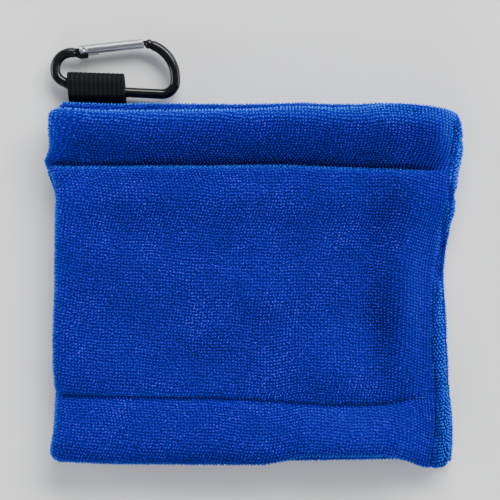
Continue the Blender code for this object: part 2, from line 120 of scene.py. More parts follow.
# Relief of the front panel: (x, y, half width along x, half width below y, above y, height)
SWELLS = [
    (41.0, -12.0, 5.0, 30.0, 30.0, -1.6),
    (50.5, -2.0, 6.0, 34.0, 34.0, 0.9),
    (46.0, -29.0, 7.5, 18.0, 8.0, -2.6),
    (45.0, 5.0, 11.0, 12.0, 14.0, -1.3),
    (5.0, -16.5, 9.0, 6.0, 6.0, 1.5),
    (25.0, -40.0, 10.0, 9.0, 13.0, 2.2),
    (51.0, 12.0, 9.0, 10.0, 14.0, -0.9),
    (-2.0, -24.0, 6.0, 8.0, 8.0, -1.2),
    (-17.0, -38.0, 10.0, 8.0, 7.0, -2.0),
    (-40.0, -46.0, 22.0, 5.0, 10.0, 1.5),
    (-40.0, 8.0, 20.0, 7.0, 8.0, -0.8),
    (-62.0, 12.0, 9.0, 12.0, 12.0, 0.8),
    (36.0, -66.0, 15.0, 6.0, 10.0, 2.2),
]

# Broad patches that make the pile paler or deeper: partly how the pile lies, brushed up or down, and partly
# painted light and shade on its slopes and folds; the same columns as SWELLS, with the last one added to the
# base
NAP_AND_PAINTED_SHADING_BASE = 0.75
NAP_AND_PAINTED_SHADING = [
    (-5.0, 32.0, 70.0, 2.4, 9.5, -0.27),
    (-28.0, 48.5, 38.0, 6.0, 5.0, 0.22),
    (-70.5, 40.0, 4.0, 9.0, 8.0, 0.22),
    (-69.5, 0.0, 3.5, 22.0, 18.0, 0.12),
    (66.0, 19.0, 3.5, 10.0, 10.0, 0.16),
    (52.0, -45.0, 12.0, 5.0, 10.0, -0.13),
    (66.5, -62.0, 3.0, 18.0, 16.0, -0.16),
    (47.0, 10.0, 7.0, 36.0, 18.0, -0.16),
    (44.0, -22.0, 7.0, 13.0, 14.0, -0.18),
    (51.0, 21.0, 6.0, 7.0, 6.0, -0.14),
    (34.0, 2.0, 7.0, 8.0, 8.0, -0.12),
    (71.5, 0.0, 4.5, 80.0, 80.0, 0.20),
    (-62.0, 20.0, 8.0, 14.0, 8.0, 0.10),
    (-30.0, -50.0, 36.0, 5.0, 4.0, 0.18),
    (33.0, -59.0, 20.0, 8.0, 7.0, 0.21),
    (28.0, -34.0, 14.0, 14.0, 10.0, 0.08),
    (-52.0, -32.0, 14.0, 10.0, 10.0, 0.08),
    (-2.0, -8.0, 12.0, 8.0, 8.0, 0.08),
    (0.0, -74.0, 62.0, 3.0, 5.0, -0.2),
]

# Webbing
WEB_LEFT, WEB_RIGHT = -66.1, -45.8
WEB_THICK = 1.0
WEB_Z = 1.1
WEB_UPPER = 2.4
SEWN_FROM, SEWN_TO = 36.0, 52.5
FLEX_Y = 53.9
FOLD_Y = 64.7
LOOP_TOP_Z = 8.0
LOOP_WALL_Y = 54.75
BACK_LIFT, FRONT_LIFT = 3.8, 1.0
BACK_LIP = 6.4  # height of the back panel's fold along the mouth
LIFT_REACH = 8.0
RIBS = 12.5
WEB_SKEW = 0.055  # how far the loop leans to the left as it leaves the pouch
WEB_SLOPE = 0.03

# Carabiner: the frame's rod
ROD = 3.6
ROD_Z = 3.7
NOSE = (-39.0, 74.84)
ROD_CORNERS = [
    ((-28.34, 72.83), 12.4), ((-28.34, 56.57), 4.6), ((-62.06, 58.29), 13.6), ((-71.06, 62.68), 4.6),
    ((-71.06, 71.47), 5.8),
]
TONGUE_ROOT = (-63.3, 71.6)

# Gate, in its own frame: x along the tube from the hinge, y outwards
PIVOT = (-60.53, 72.49)
GATE_LENGTH = 21.0
GATE_ANGLE = atan2(2.34, 20.88)
GATE_OVERHANG = 1.8
TUBE_R = 1.75
BORE_R = 1.25
SLOT = 1.5
RIVET_R = 0.6
RIVET_HEAD_R = 1.05
PIN_R = 0.4
PIN_AT = (GATE_LENGTH - 1.3, -0.55)
FIT = 0.07


# ---------------------------------------------------------------- small tools


def smooth(value, start, end):
    t = np.clip((np.asarray(value, float) - start) / (end - start), 0.0, 1.0)
    return t * t * (3 - 2 * t)


def along(table, at, ease=2.0):
    """The value of an edge or seam at places along it, with the table's corners eased."""
    places, values = zip(*table, strict=True)
    steps = np.linspace(-ease, ease, 7)
    return np.mean([np.interp(np.asarray(at, float) + step, places, values) for step in steps], axis=0)


def bump_at(distance, width):
    return np.exp(-((distance / width) ** 2))


def mesh_from(name, points, faces):
    """A mesh from points in millimetres and faces of one size."""
    points = np.asarray(points, np.float32).reshape(-1, 3) * MM
    faces = np.asarray(faces, np.int32)
    mesh = bpy.data.meshes.new(name)
    mesh.vertices.add(len(points))
    mesh.vertices.foreach_set("co", points.ravel())
    mesh.loops.add(faces.size)
    mesh.loops.foreach_set("vertex_index", faces.ravel())
    mesh.polygons.add(len(faces))
    mesh.polygons.foreach_set("loop_start", np.arange(0, faces.size, faces.shape[1], dtype=np.int32))
    mesh.update(calc_edges=True)
    mesh.polygons.foreach_set("use_smooth", np.ones(len(faces), bool))
    return mesh


def add(name, mesh, material=None):
    obj = bpy.data.objects.new(name, mesh)
    bpy.context.scene.collection.objects.link(obj)
    if material:
        mesh.materials.clear()
        mesh.materials.append(material)
    return obj


def grid_faces(rows, columns, wrap=False):
    """Quads of a grid of points, whose rows close on themselves if wrap is true."""
    across = columns if wrap else columns - 1
    i, j = np.meshgrid(np.arange(rows - 1), np.arange(across), indexing="ij")
    k = (j + 1) % columns
    quads = [i * columns + j, i * columns + k, (i + 1) * columns + k, (i + 1) * columns + j]
    return np.stack(quads, axis=-1).reshape(-1, 4)


def tube_arrays(path, radius, sides, up=(0, 0, 1)):
    """Points of a tube along a path, as rings, with the radius at each point of the path."""
    path = np.asarray(path, float)
    radius = np.broadcast_to(np.asarray(radius, float), (len(path),))
    tangent = np.gradient(path, axis=0)
    tangent /= np.linalg.norm(tangent, axis=1, keepdims=True)
    first = np.cross(tangent, np.broadcast_to(np.asarray(up, float), tangent.shape))
    first /= np.maximum(np.linalg.norm(first, axis=1, keepdims=True), 1e-9)
    second = np.cross(first, tangent)
    turn = np.linspace(0, 2 * pi, sides, endpoint=False)
    ring = np.cos(turn)[None, :, None] * first[:, None] + np.sin(turn)[None, :, None] * second[:, None]
    return path[:, None] + ring * radius[:, None, None]


def tubes(name, paths, radius, sides, material, up=(0, 0, 1)):
    """One object of several tubes with rounded ends."""
    points, faces, count = [], [], 0
    for path in paths:
        path = np.asarray(path, float)
        profile = np.broadcast_to(np.asarray(radius, float), (len(path),)).copy()
        ahead, behind = path[1] - path[0], path[-1] - path[-2]
        ahead, behind = ahead / np.linalg.norm(ahead), behind / np.linalg.norm(behind)
        path = np.vstack([path[0] - ahead * profile[0] * 0.6, path, path[-1] + behind * profile[-1] * 0.6])
        profile = np.concatenate([[profile[0] * 0.45], profile, [profile[-1] * 0.45]])
        rings = tube_arrays(path, profile, sides, up)
        quads = grid_faces(len(path), sides, wrap=True) + count
        points.append(rings.reshape(-1, 3))
        faces.append(quads)
        count += rings.shape[0] * sides
        # A cap of quads closes each end, which needs an even number of sides.
        for start, order in ((count - sides, 1), (count - rings.shape[0] * sides, -1)):
            end = start + sides - 1
            fan = [[start + i, start + i + 1, end - i - 1, end - i] for i in range(sides // 2 - 1)]
            faces.append(np.array([row[::order] for row in fan]))
    return add(name, mesh_from(name, np.vstack(points), np.vstack(faces)), material)


# ---------------------------------------------------------------- materials


class Nodes:
    """A material and short calls that add and join its nodes."""

    def __init__(self, name):
        self.material = bpy.data.materials.new(name)
        self.material.use_nodes = True
        self.tree = self.material.node_tree
        self.shader = self.tree.nodes["Principled BSDF"]
        self.place = self.new("ShaderNodeTexCoord").outputs["Object"]

    def new(self, kind, **settings):
        node = self.tree.nodes.new(kind)
        for key, value in settings.items():
            setattr(node, key, value)
        return node

    def put(self, socket, value):
        if isinstance(value, bpy.types.NodeSocket):
            self.tree.links.new(value, socket)
        else:
            socket.default_value = value

    def mapped(self, scale=(1, 1, 1), turn=(0, 0, 0)):
        node = self.new("ShaderNodeMapping")
        self.put(node.inputs["Vector"], self.place)
        self.put(node.inputs["Rotation"], turn)
        self.put(node.inputs["Scale"], scale)
        return node.outputs["Vector"]

    def noise(self, scale, detail=2.0, roughness=0.5, at=None):
        node = self.new("ShaderNodeTexNoise")
        self.put(node.inputs["Vector"], at or self.place)
        self.put(node.inputs["Scale"], scale)
        self.put(node.inputs["Detail"], detail)
        self.put(node.inputs["Roughness"], roughness)
        return node.outputs["Fac"]

    def cells(self, scale):
        node = self.new("ShaderNodeTexVoronoi", feature="F1")
        self.put(node.inputs["Vector"], self.place)
        self.put(node.inputs["Scale"], scale)
        return node.outputs["Distance"]

    def wave(self, scale, at=None, distortion=0.0, direction="X"):
        node = self.new("ShaderNodeTexWave", bands_direction=direction)
        self.put(node.inputs["Vector"], at or self.place)
        self.put(node.inputs["Scale"], scale)
        self.put(node.inputs["Distortion"], distortion)
        return node.outputs["Fac"]

    def attribute(self, name):
        return self.new("ShaderNodeAttribute", attribute_name=name).outputs["Fac"]

    def ranged(self, value, low, high, start=0.0, end=1.0):
        node = self.new("ShaderNodeMapRange")
        sockets = ("Value", "From Min", "From Max", "To Min", "To Max")
        for key, item in zip(sockets, (value, start, end, low, high), strict=True):
            self.put(node.inputs[key], item)
        return node.outputs["Result"]

    def maths(self, operation, a, b):
        node = self.new("ShaderNodeMath", operation=operation)
        self.put(node.inputs[0], a)
        self.put(node.inputs[1], b)
        return node.outputs[0]

    def blend(self, factor, a, b):
        node = self.new("ShaderNodeMix", data_type="RGBA")
        self.put(node.inputs[0], factor)
        self.put(node.inputs[6], a)
        self.put(node.inputs[7], b)
        return node.outputs[2]

    def bump(self, height, distance, strength=1.0):
        node = self.new("ShaderNodeBump")
        self.put(node.inputs["Height"], height)
        self.put(node.inputs["Distance"], distance)
        self.put(node.inputs["Strength"], strength)
        self.put(self.shader.inputs["Normal"], node.outputs["Normal"])

    def finish(self, colour, roughness, **rest):
        self.put(self.shader.inputs["Base Color"], colour)
        self.put(self.shader.inputs["Roughness"], roughness)
        for key, value in rest.items():
            self.put(self.shader.inputs[key.replace("_", " ").title().replace("Ior", "IOR")], value)
        return self.material


def rgba(r, g, b):
    return (r, g, b, 1.0)


DEEP_BLUE = rgba(0.002, 0.003, 0.30)
BLUE = rgba(0.013, 0.004, 0.68)
PALE_BLUE = rgba(0.17, 0.075, 1.0)
# Painted sheen: the paler azure that loops show on slopes, folds and the flange, where light grazes them.
SHEEN_BLUE = rgba(0.003, 0.17, 1.0)
BLACK = rgba(0, 0, 0)


def pile_material():
    """Loops of yarn, each of its own shade, with painted sheen that makes them paler azure on slopes, on the
    hem's top and on the flange, and faint broad patches.
    """
    n = Nodes("terry_pile")
    patches = n.noise(70, 3)
    shade = n.maths("ADD", n.attribute("loop_shade"), n.ranged(patches, -0.25, 0.25, 0.3, 0.7))
    colour = n.blend(n.ranged(shade, 0, 1), DEEP_BLUE, BLUE)
    colour = n.blend(n.ranged(shade, 0, 0.5, 0.7, 1.2), colour, PALE_BLUE)
    # Painted sheen, stronger on paler loops.
    wear_and_sheen = n.maths("MULTIPLY", n.attribute("loop_painted_sheen"), n.ranged(shade, 0.45, 1.0))
    colour = n.blend(wear_and_sheen, colour, SHEEN_BLUE)
    # Nap and painted light and shade, in broad patches, darken the colour towards black.
    colour = n.blend(n.attribute("nap_and_painted_shading"), BLACK, colour)
    n.bump(n.noise(9000, 2), 0.00006, 0.7)
    return n.finish(colour, n.ranged(n.noise(1500), 0.72, 0.92), sheen_weight=0.35, sheen_roughness=0.4,
                    sheen_tint=rgba(0.14, 0.27, 1.0), specular_ior_level=0.25)


def ground_material():
    """The woven ground under the pile, and the inside of the pouch, with short loops in its bump and painted
    shade: it is coloured deeper than the pile, and deepest between its short loops.
    """
    n = Nodes("terry_ground")
    loops = n.cells(880)
    # Painted shade: deeper than the pile's colour, and deepest at the cells' edges, between the short loops.
    colour = n.blend(n.ranged(loops, 0, 1, 0.1, 0.6), rgba(0.002, 0.004, 0.46), rgba(0.001, 0.002, 0.24))
    # Nap and painted light and shade, in broad patches, darken the colour towards black.
    colour = n.blend(n.attribute("nap_and_painted_shading"), BLACK, colour)
    n.bump(n.maths("ADD", n.maths("MULTIPLY", loops, -1.0), n.ranged(n.noise(2600, 3), 0, 0.4)), 0.0007, 0.9)
    return n.finish(colour, 0.92, sheen_weight=0.1, sheen_roughness=0.5, sheen_tint=rgba(0.04, 0.25, 1.0),
                    specular_ior_level=0.08)


def thread_material(name, dark, light):
    n = Nodes(name)
    twist = n.wave(1100, n.mapped(turn=(0, 0, radians(35))), 1.5)
    n.bump(twist, 0.00008, 0.8)
    return n.finish(n.blend(twist, dark, light), 0.6, sheen_weight=0.2)


def webbing_material():
    """Flat polypropylene weave: short slanted yarns that change direction from rib to rib."""
    n = Nodes("webbing_weave")
    twill = n.wave(420, n.mapped(turn=(0, 0, radians(58))), 0.6)
    across = n.wave(640, distortion=0.4, direction="Y")
    yarns = n.maths("MULTIPLY", twill, across)
    colour = n.blend(yarns, rgba(0.0010, 0.0011, 0.0018), rgba(0.0045, 0.005, 0.007))
    n.bump(n.maths("ADD", yarns, n.ranged(n.noise(4500, 2), 0, 0.35)), 0.00012, 0.7)
    return n.finish(colour, n.ranged(n.noise(900), 0.5, 0.75), specular_ior_level=0.10)


def anodised_material():
    n = Nodes("black_anodised_rod")
    wear_and_sheen = n.noise(260, 5, 0.6)
    colour = n.blend(n.ranged(wear_and_sheen, 0, 1, 0.45, 0.75), rgba(0.002, 0.002, 0.003), rgba(0.006, 0.0065, 0.008))
    n.bump(n.noise(2400, 3), 0.00001, 0.4)
    return n.finish(colour, n.ranged(wear_and_sheen, 0.16, 0.28, 0.3, 0.7), specular_ior_level=0.28, coat_weight=0.05,
                    coat_roughness=0.1)


def brushed_material(name, dark, light, low, high, turn):
    """Bright metal with fine scratches drawn along one direction."""
    n = Nodes(name)
    drawn = n.mapped(scale=(60, 3200, 3200), turn=(0, 0, -turn))
    scratches = n.noise(1.0, 4, 0.6, drawn)
    n.bump(scratches, 0.00003, 0.5)
    return n.finish(n.blend(n.ranged(scratches, 0, 1, 0.3, 0.7), dark, light), n.ranged(scratches, low, high),
                    metallic=1.0)


def floor_material():
    n = Nodes("pale_floor")
    colour = n.blend(n.noise(5, 3), rgba(0.70, 0.71, 0.72), rgba(0.74, 0.745, 0.75))
    n.bump(n.noise(700, 3), 0.00004, 0.3)
    return n.finish(colour, 0.75)


# ---------------------------------------------------------------- cloth shapes


def lift_at(x, y):
    """From 0 to 1, how much of the webbing lies under the cloth here."""
    left = smooth(x, WEB_LEFT - 2.3, WEB_LEFT - 0.6)
    right = 1 - smooth(x, WEB_RIGHT + 1, WEB_RIGHT + LIFT_REACH)
    return left * right * smooth(y, SEWN_FROM - LIFT_REACH, SEWN_FROM - 1)


def front_inset(y):
    """How far the front panel's raw edge lies inside the back panel's: they part below the hem."""
    return 1.5 * (1 - smooth(y, 2.0, 18.0))


def front_height(x, y):
    """Height of the middle of the front panel's outer layer."""
    hem = y - along(HEM_SEAM, x)
    low = y - along(BOTTOM_SEAM, x)
    roll = 17.0 - 8.8 * (1 - np.clip(hem / 17.5, -0.2, 1)) ** 1.4 - 2.6 * smooth(hem, 16.5, 21.5)
    body = BODY_Z + 1.9 * bump_at(hem + 10.5, 7.5) + 0.8 * bump_at(y + 10.0, 9.0)
    body = body - 1.3 * (1 - smooth(low, 0.0, 8.0))
    band = 12.9 - 4.4 * (1 - np.clip(-low / 17.0, -0.2, 1)) ** 1.5
    band = band - 3.4 * np.clip((-low - 17.0) / 7.0, 0, 1) ** 2
    high = body + (roll - body) * smooth(hem, -1.5, 1.5)
    high = high + (band - high) * (1 - smooth(low, -1.5, 1.5))
    for cx, cy, wide, below, above, height in SWELLS:
        high = high + height * bump_at(x - cx, wide) * bump_at(y - cy, np.where(y < cy, below, above))
    high = high - 1.5 * bump_at(hem, 1.4) - 1.0 * bump_at(low, 1.5)
    side = x - along(SIDE_SEAM, y)
    hemmed = np.maximum(smooth(hem, -24.0, -2.0), 0.6 * (1 - smooth(low, -4.0, 20.0)))
    flange = BACK_Z + LAYER + 2 * LAYER * hemmed
    width = np.maximum(along(RIGHT, y) - along(SIDE_SEAM, y) - 2.4 - front_inset(y), 1.5)
    layered = smooth(width, 2.2, 3.4)
    ridge = 0.9 * np.sin(pi * np.clip(side / width, 0, 1) ** (1 - 0.4 * layered))
    from_edge = side - width
    ridge = ridge + layered * (1.3 * bump_at(from_edge + 0.3, 0.9) - 0.6 * bump_at(from_edge + 2.0, 0.7))
    ridge = ridge + 0.5 * np.cos(2 * pi * (side - FLANGE_START) / FLANGE_PITCH) * smooth(side, 0.2, 1.0)
    on_flange = flange + ridge
    share = smooth(side, -13.0 + 6.0 * smooth(hem, -2.0, 6.0), -0.2)
    height = high + (on_flange - high) * share
    corner = smooth(y, 43.5, 48.0)
    height = height - 2.2 * bump_at(side, 0.9) * (1 - corner)
    return height + FRONT_LIFT * lift_at(x, y)


def nap_and_painted_shading_on(side, x, y):
    """Share of the full colour that the pile shows here, set by the nap and by painted light and shade in
    broad patches; it is even on the back panel.
    """
    value = np.full(np.shape(x), NAP_AND_PAINTED_SHADING_BASE)
    for cx, cy, wide, below, above, amount in NAP_AND_PAINTED_SHADING if side > 0 else []:
        value = value + amount * bump_at(x - cx, wide) * bump_at(y - cy, np.where(y < cy, below, above))
    return np.clip(value, 0.3, 1.0)


def back_height(x, y):
    dips = bump_at(y - along(HEM_SEAM, x), 1.4) + bump_at(y - along(BOTTOM_SEAM, x), 1.4)
    return BACK_Z + 0.7 * dips + BACK_LIFT * lift_at(x, y)


def sheet_rows(outer, inner=10, round_fold=9):
    """Rows from one raw edge, round both folds, to the other: (zone, share, depth below the outer layer)."""
    rows = [("inner_top", t, LAYER) for t in np.linspace(0, 1, inner, endpoint=False)]
    over_top = np.linspace(-pi / 2, pi / 2, round_fold, endpoint=False)
    rows += [("top", a, FOLD * (1 - sin(a))) for a in over_top]
    rows += [("outer", t, 0.0) for t in np.linspace(0, 1, outer)]
    rows += [("bottom", a, FOLD * (1 - cos(a))) for a in np.linspace(0, pi, round_fold + 1)[1:]]
    rows += [("inner_bottom", t, LAYER) for t in np.linspace(0, 1, inner + 1)[1:]]
    return rows


def lip_at(x, y, top):
    """How much thicker the back panel's fold is than two layers, which raises it along the mouth."""
    extra = np.maximum(BACK_LIP - LAYER - back_height(x, y), 0.0)
    return extra * smooth(y, top - 5.5, top - 0.3) * smooth(x, -70, -60) * (1 - smooth(x, 38, 56))


def sheet_grid(side, left_edge, right_inset, drop, bottom_edge, height, outer=160, columns=165):
    """Points on the middle of one hemmed panel: rows from top to bottom by columns from left to right."""
    rows = sheet_rows(outer)
    arc, roll = 12, 6
    total = arc + columns + roll
    nominal = np.linspace(-73.0, 72.0, total)
    grid = np.zeros((len(rows), total, 3))
    for i, (zone, share, depth) in enumerate(rows):
        top = along(TOP, nominal) - drop(nominal) - CLOTH / 2 - FOLD
        bottom = along(bottom_edge, nominal) + CLOTH / 2 + FOLD
        if zone == "inner_top":
            raw = along(HEM_SEAM, nominal) - HEM_TURN
            y = raw + (top - raw) * share
        elif zone == "top":
            y = top + FOLD * cos(share)
        elif zone == "outer":
            y = top + (bottom - top) * share
        elif zone == "bottom":
            y = bottom - FOLD * sin(share)
        else:
            raw = along(BOTTOM_SEAM, nominal) + HEM_TURN
            y = bottom + (raw - bottom) * share
        if side < 0 and depth > 0:
            puff = lip_at(nominal, y, top)
            y = y + 0.22 * puff * (depth / LAYER)
            depth = depth * (1 + puff / LAYER)
        depth = np.broadcast_to(depth, nominal.shape)
        left = along(left_edge, y, 1.0) + CLOTH / 2
        right = along(RIGHT, y) - CLOTH / 2 - right_inset(y)
        edge_z = SEAM_Z + side * SEAM_GAP / 2
        flat_start = height(left + 6.0, y)
        radius = side * (flat_start - edge_z)
        turn = pi - np.linspace(0, pi / 2, arc, endpoint=False)
        x, z = np.empty(total), np.empty(total)
        x[:arc] = (left + radius)[:arc] + (radius - depth)[:arc] * np.cos(turn)
        z[:arc] = edge_z + side * (radius - depth)[:arc] * np.sin(turn)
        middle = slice(arc, arc + columns)
        t = np.linspace(0, 1, columns)
        start, end = (left + radius)[middle], (right - ROLL)[middle]
        x[middle] = start + (end - start) * t
        z[middle] = height(x[middle], y[middle]) - side * depth[middle]
        ease = 1 - smooth(x[middle], left[middle] + 3, left[middle] + 9)
        z[middle] += (flat_start[middle] - height(x[middle], y[middle])) * ease
        bend = np.linspace(0, pi / 2 if side > 0 else pi, roll + 1)[1:]
        turned = ROLL if side > 0 else ROLL * 0.65
        last = arc + columns
        plain = np.minimum(depth[last:] / LAYER, 1)
        x[last:] = x[last - 1] + ((1 - plain) * turned + plain * 0.6) * np.sin(bend)
        z[last:] = z[last - 1] - side * (1 - plain) * turned * (1 - np.cos(bend))
        grid[i] = np.stack([x, y, z], axis=-1)
    return grid


def paint(mesh, label, values):
    layer = mesh.attributes.new(label, "FLOAT", "POINT")
    layer.data.foreach_set("value", np.asarray(values, np.float32).ravel())


def cloth_piece(name, grid, side, material):
    faces = grid_faces(*grid.shape[:2])
    obj = add(name, mesh_from(name, grid, faces if side < 0 else faces[:, ::-1]), material)
    # Broad patches of nap and of painted light and shade.
    paint(obj.data, "nap_and_painted_shading", nap_and_painted_shading_on(side, grid[..., 0], grid[..., 1]))
    thick = obj.modifiers.new("cloth", "SOLIDIFY")
    thick.thickness = CORE * MM
    thick.offset = 0.0
    return obj


# ---------------------------------------------------------------- pile


def normals_of(grid, side):
    down, across = np.gradient(grid, axis=0), np.gradient(grid, axis=1)
    normal = np.cross(across, down) * -side
    normal /= np.maximum(np.linalg.norm(normal, axis=-1, keepdims=True), 1e-9)
    normal = np.where((normal[..., 2:] * side < 0).mean() > 0.9, -normal, normal)
    across /= np.maximum(np.linalg.norm(across, axis=-1, keepdims=True), 1e-9)
    return normal, across


def sampled(field, a, b):
    """Values of a grid at fractional places in it."""
    i = np.clip(a.astype(int), 0, field.shape[0] - 2)
    j = np.clip(b.astype(int), 0, field.shape[1] - 2)
    u, v = (a - i)[..., None], (b - j)[..., None]
    near = field[i, j] * (1 - v) + field[i, j + 1] * v
    far = field[i + 1, j] * (1 - v) + field[i + 1, j + 1] * v
    return near * (1 - u) + far * u


def lattice(grid, first_row, last_row, pitch_along, pitch_across):
    """Places of loops on the cloth, in slightly tilted rows and columns, as fractional grid indices."""
    middle = slice(grid.shape[1] // 5, -grid.shape[1] // 5)
    steps = np.linalg.norm(np.diff(grid[:, middle], axis=0), axis=-1).mean(axis=1)
    down = np.concatenate([[0], np.cumsum(steps)])
    outer = slice(grid.shape[0] // 3, 2 * grid.shape[0] // 3)
    steps = np.linalg.norm(np.diff(grid[outer], axis=1), axis=-1).mean(axis=0)
    across = np.concatenate([[0], np.cumsum(steps)])
    start, end, wide = down[first_row] + 0.3, down[last_row] - 0.2, across[-1] - 0.1
    rows = np.arange(start - 12, end + 12, pitch_along)
    columns = np.arange(-12, wide + 12, pitch_across)
    a, b = np.meshgrid(rows, columns, indexing="ij")
    a, b = a + GRID_TILT * (b - wide / 2), b - GRID_TILT * (a - (start + end) / 2)
    from_side = b - (wide - 24)
    b = b + SIDE_STRETCH / 2 * (from_side + np.sqrt(from_side ** 2 + 16))
    calm = 1 - 0.6 * smooth(b, wide - 26, wide - 12)
    wave = 0.22 * np.sin(b / 5.3 + a / 23.0) + 0.15 * np.sin(b / 2.9 - a / 9.0 + 1.3)
    sway = 0.20 * np.sin(a / 6.1 + b / 17.0) + 0.15 * np.sin(a / 3.1 - b / 7.0)
    a = a + (wave + rng.normal(0, 0.10, a.shape)) * calm
    b = b + (sway + rng.normal(0, 0.10, b.shape)) * calm
    kept = (a > start) & (a < end) & (b > 0.3) & (b < wide)
    return np.interp(a[kept], down, np.arange(len(down))), np.interp(b[kept], across, np.arange(len(across)))


def flange_loops(grid, first_row, last_row, pitch):
    """Columns of loops outside the side seam, as fractional grid indices."""
    index = np.arange(grid.shape[1])
    down = np.concatenate([[0], np.cumsum(np.linalg.norm(np.diff(grid[:, -20], axis=0), axis=-1))])
    a, b = [], []
    for k, gone in enumerate(np.arange(down[first_row] + 0.3, down[last_row] - 0.2, pitch)):
        row = np.interp(gone, down, np.arange(len(down)))
        line = grid[int(round(row))]
        arc = np.concatenate([[0], np.cumsum(np.linalg.norm(np.diff(line, axis=0), axis=-1))])
        seam = np.interp(along(SIDE_SEAM, line[-1, 1]), line[:-8, 0], arc[:-8])
        column = np.arange(seam + FLANGE_START + FLANGE_PITCH / 4 * (k % 2), arc[-1], FLANGE_PITCH / 2)
        a.append(row + rng.normal(0, 0.12, len(column)))
        b.append(np.interp(column + rng.normal(0, 0.08, len(column)), arc, index))
    return np.concatenate(a), np.concatenate(b)


def make_pile(name, grid, side, first_row, last_row, material, sides=5, segments=4):
    """Terry loops that stand on a cloth grid, in pieces of less than PILE_FACES triangles."""
    normal, across = normals_of(grid, side)
    a, b = lattice(grid, first_row, last_row, *LOOP_PITCH)
    if side > 0:
        base = sampled(grid, a, b)
        inside = base[..., 0] < along(SIDE_SEAM, base[..., 1]) + 0.35
        more_a, more_b = flange_loops(grid, first_row, last_row, LOOP_PITCH[0])
        a, b = np.concatenate([a[inside], more_a]), np.concatenate([b[inside], more_b])
    base = sampled(grid, a, b)
    n = sampled(normal, a, b)
    n /= np.linalg.norm(n, axis=-1, keepdims=True)
    t = sampled(across, a, b)
    t /= np.linalg.norm(t, axis=-1, keepdims=True)
    s = np.cross(n, t)
    shape = a.shape
    x, y = base[..., 0], base[..., 1]
    near_side = smooth(x - along(SIDE_SEAM, y), -16.0, -3.0)
    open_angle = np.radians(rng.normal(LOOP_ANGLE, LOOP_SPREAD, shape))
    side_angle = np.radians(rng.normal(SIDE_ANGLE, SIDE_SPREAD, shape))
    angle = open_angle * (1 - near_side) + side_angle * near_side
    direction = np.cos(angle)[..., None] * t + np.sin(angle)[..., None] * s
    tilted = smooth(1 - abs(n[..., 2]), 0.3, 0.9)
    height = LOOP_HEIGHT * rng.uniform(0.82, 1.15, shape) * (1 - 0.4 * tilted)
    gap = np.minimum(abs(y - along(HEM_SEAM, x)), abs(y - along(BOTTOM_SEAM, x)))
    if side > 0:
        gap = np.minimum(gap, abs(x - along(SIDE_SEAM, y)))
    height = height * (0.5 + 0.5 * smooth(gap, 0.2, 1.6))
    width = LOOP_WIDTH * rng.uniform(0.8, 1.2, shape)
    calm = 1 - 0.6 * near_side
    lean = (calm * rng.normal(0, 0.12, shape))[..., None] * t
    lean = lean + (calm * rng.normal(-0.04, 0.12, shape))[..., None] * s
    shade = np.clip(rng.normal(0.5, 0.17, shape), 0, 1)
    # Painted sheen and highlight: paler where the cloth slopes from flat, on the hem's top fold and on the
    # flange.
    painted_sheen = smooth(1 - abs(n[..., 2]), 0.15, 0.7)
    if side > 0:
        painted_sheen = np.maximum(painted_sheen, 0.85 * smooth(y - along(HEM_SEAM, x), 14.5, 20.5))
        within = along(RIGHT, y) - front_inset(y) - x
        on_flange = smooth(x - along(SIDE_SEAM, y), 0.6, 2.0)
        painted_sheen = np.maximum(painted_sheen, on_flange * (0.5 + 0.5 * smooth(within, 4.6, 3.4)))
    turn = np.linspace(0.0, pi, segments + 1)
    ring = np.linspace(0, 2 * pi, sides, endpoint=False)
    side_way = np.cross(direction, n)
    c, h = np.cos(turn), np.sin(turn)
    foot = base + n * (CORE / 2 - 0.12)
    centre = (foot[..., None, :] + direction[..., None, :] * (width[..., None] / 2 * c)[..., None]
              + n[..., None, :] * (height[..., None] * h)[..., None] + lean[..., None, :] * (h * h)[:, None])
    out = direction[..., None, :] * c[:, None] + n[..., None, :] * h[:, None]
    swell = YARN_R * (0.85 + 0.2 * h) * (1 + 0.25 * tilted)[:, None]
    around = out[..., None, :] * np.cos(ring)[:, None]
    around = around + side_way[..., None, None, :] * np.sin(ring)[:, None]
    points = centre[..., None, :] + around * swell[..., None, None]
    each = (segments + 1) * sides
    count = shape[0]
    points = points.reshape(count, each, 3)
    nap_and_painted_shading = nap_and_painted_shading_on(side, x, y)
    quads = grid_faces(segments + 1, sides, wrap=True)
    pieces = ceil(count * len(quads) * 2 / PILE_FACES)
    made = []
    for k, part in enumerate(np.array_split(np.arange(count), pieces)):
        faces = quads[None] + (np.arange(len(part)) * each)[:, None, None]
        mesh = mesh_from(f"{name}_{k + 1}", points[part], faces.reshape(-1, 4))
        for label, values in (("loop_shade", shade), ("loop_painted_sheen", painted_sheen), ("nap_and_painted_shading", nap_and_painted_shading)):
            paint(mesh, label, np.repeat(values[part], each))
        made.append(add(mesh.name, mesh, material))
    return made


# ---------------------------------------------------------------- stitches


def stitches(name, route, radius, material, length=2.6, up=(0, 0, 1)):
    """A row of lock stitches along a route of points."""
    route = np.asarray(route, float)
    gone = np.concatenate([[0], np.cumsum(np.linalg.norm(np.diff(route, axis=0), axis=1))])
    count = int(gone[-1] / length)
    paths = []
    for i in range(count):
        at = np.linspace((i + 0.06) * length, (i + 0.94) * length, 6)
        path = np.stack([np.interp(at, gone, route[:, k]) for k in range(3)], axis=-1)
        path += np.asarray(up, float) * (0.16 * np.sin(np.linspace(0, pi, 6)) - 0.1)[:, None]
        paths.append(path)
    return tubes(name, paths, radius, 6, material, up=(0.3, 0.5, 0.8))


# ---------------------------------------------------------------- webbing


